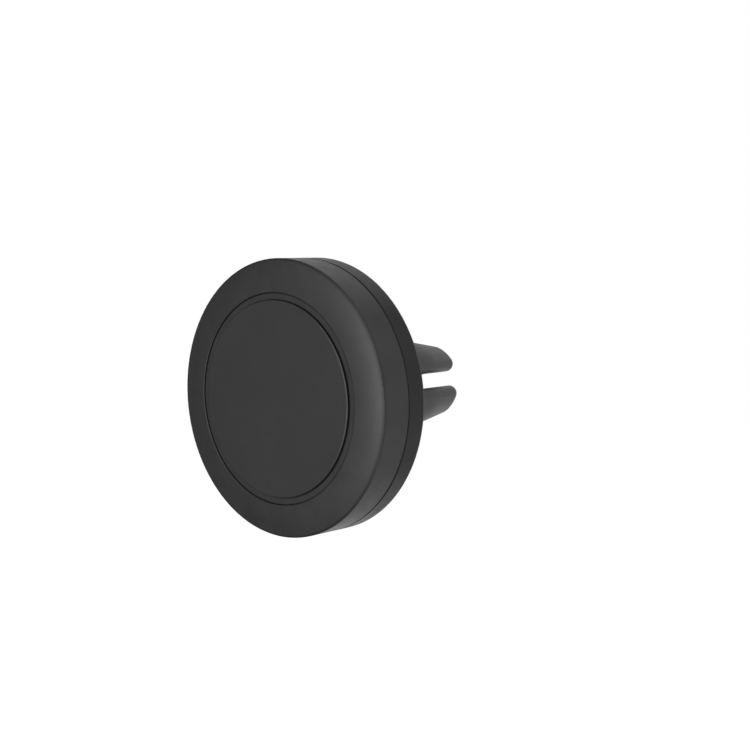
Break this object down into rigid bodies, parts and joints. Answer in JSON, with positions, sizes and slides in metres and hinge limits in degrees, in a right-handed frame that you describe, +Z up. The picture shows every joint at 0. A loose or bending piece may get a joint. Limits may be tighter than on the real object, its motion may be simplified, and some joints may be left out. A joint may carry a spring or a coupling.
{
  "type": "car phone mount",
  "caption": "Round magnetic phone holder on a locking ball joint, with a slotted rubber-covered clip that grips the louvre of a car's air vent.",
  "frame": {"origin": "centre of the grip pad's front face, where the phone's plate rests", "axes": "+Y runs from the phone face through the ball joint to the tips of the vent clip, -Y is the way the phone face looks, +Z is up, square to the wide slot that a level louvre goes into"},
  "size_m": [0.044, 0.0385, 0.044],
  "materials": {
    "front_plastic": "satin moulded black plastic",
    "rear_plastic": "satin moulded black plastic, a little darker",
    "pad_silicone": "fine matt silicone",
    "adhesive_film": "thin double-sided film",
    "carrier_plastic": "plain moulded plastic",
    "magnet_nickel": "nickel-plated neodymium",
    "yoke_steel": "zinc-plated sheet steel",
    "screw_steel": "zinc-plated steel",
    "washer_plastic": "natural acetal",
    "washer_steel": "plain steel",
    "spring_steel": "hardened spring steel",
    "stud_metal": "bright turned steel, lightly brushed",
    "liner_plastic": "grey acetal",
    "nylon_black": "glass-filled nylon",
    "nut_plastic": "satin moulded black plastic",
    "prong_rubber": "soft matt rubber"
  },
  "bodies": {
    "clip": {"clip_core": "nylon_black", "prong_sleeve_1": "prong_rubber", "prong_sleeve_2": "prong_rubber", "prong_sleeve_3": "prong_rubber", "prong_sleeve_4": "prong_rubber"},
    "lock_nut": {"lock_nut": "nut_plastic"},
    "liner": {"ball_liner": "liner_plastic"},
    "ball_stud": {"ball_stud": "stud_metal", "stud_screw": "screw_steel", "stop_washer": "washer_steel", "disc_spring": "spring_steel"},
    "head": {"front_shell": "front_plastic", "rear_shell": "rear_plastic", "grip_pad": "pad_silicone", "pad_adhesive": "adhesive_film", "magnet_carrier": "carrier_plastic", "magnet_1": "magnet_nickel", "magnet_2": "magnet_nickel", "magnet_3": "magnet_nickel", "magnet_4": "magnet_nickel", "magnet_5": "magnet_nickel", "magnet_6": "magnet_nickel", "yoke_plate": "yoke_steel", "shell_screws": "screw_steel", "thrust_washer": "washer_plastic"}
  },
  "joints": [
    {"name": "lock_nut_turn", "type": "hinge", "parent": "clip", "child": "lock_nut", "pos_m": [0, 0.0182, 0], "axis": [0, 1, 0], "range_deg": [-180, 180]},
    {"name": "head_tilt", "type": "hinge", "parent": "clip", "child": "liner", "pos_m": [0, 0.0182, 0], "axis": [1, 0, 0], "range_deg": [-15, 15]},
    {"name": "head_pan", "type": "hinge", "parent": "liner", "child": "ball_stud", "pos_m": [0, 0.0182, 0], "axis": [0, 0, 1], "range_deg": [-15, 15]},
    {"name": "head_spin", "type": "hinge", "parent": "ball_stud", "child": "head", "pos_m": [0, 0.0182, 0], "axis": [0, 1, 0], "continuous": true}
  ]
}
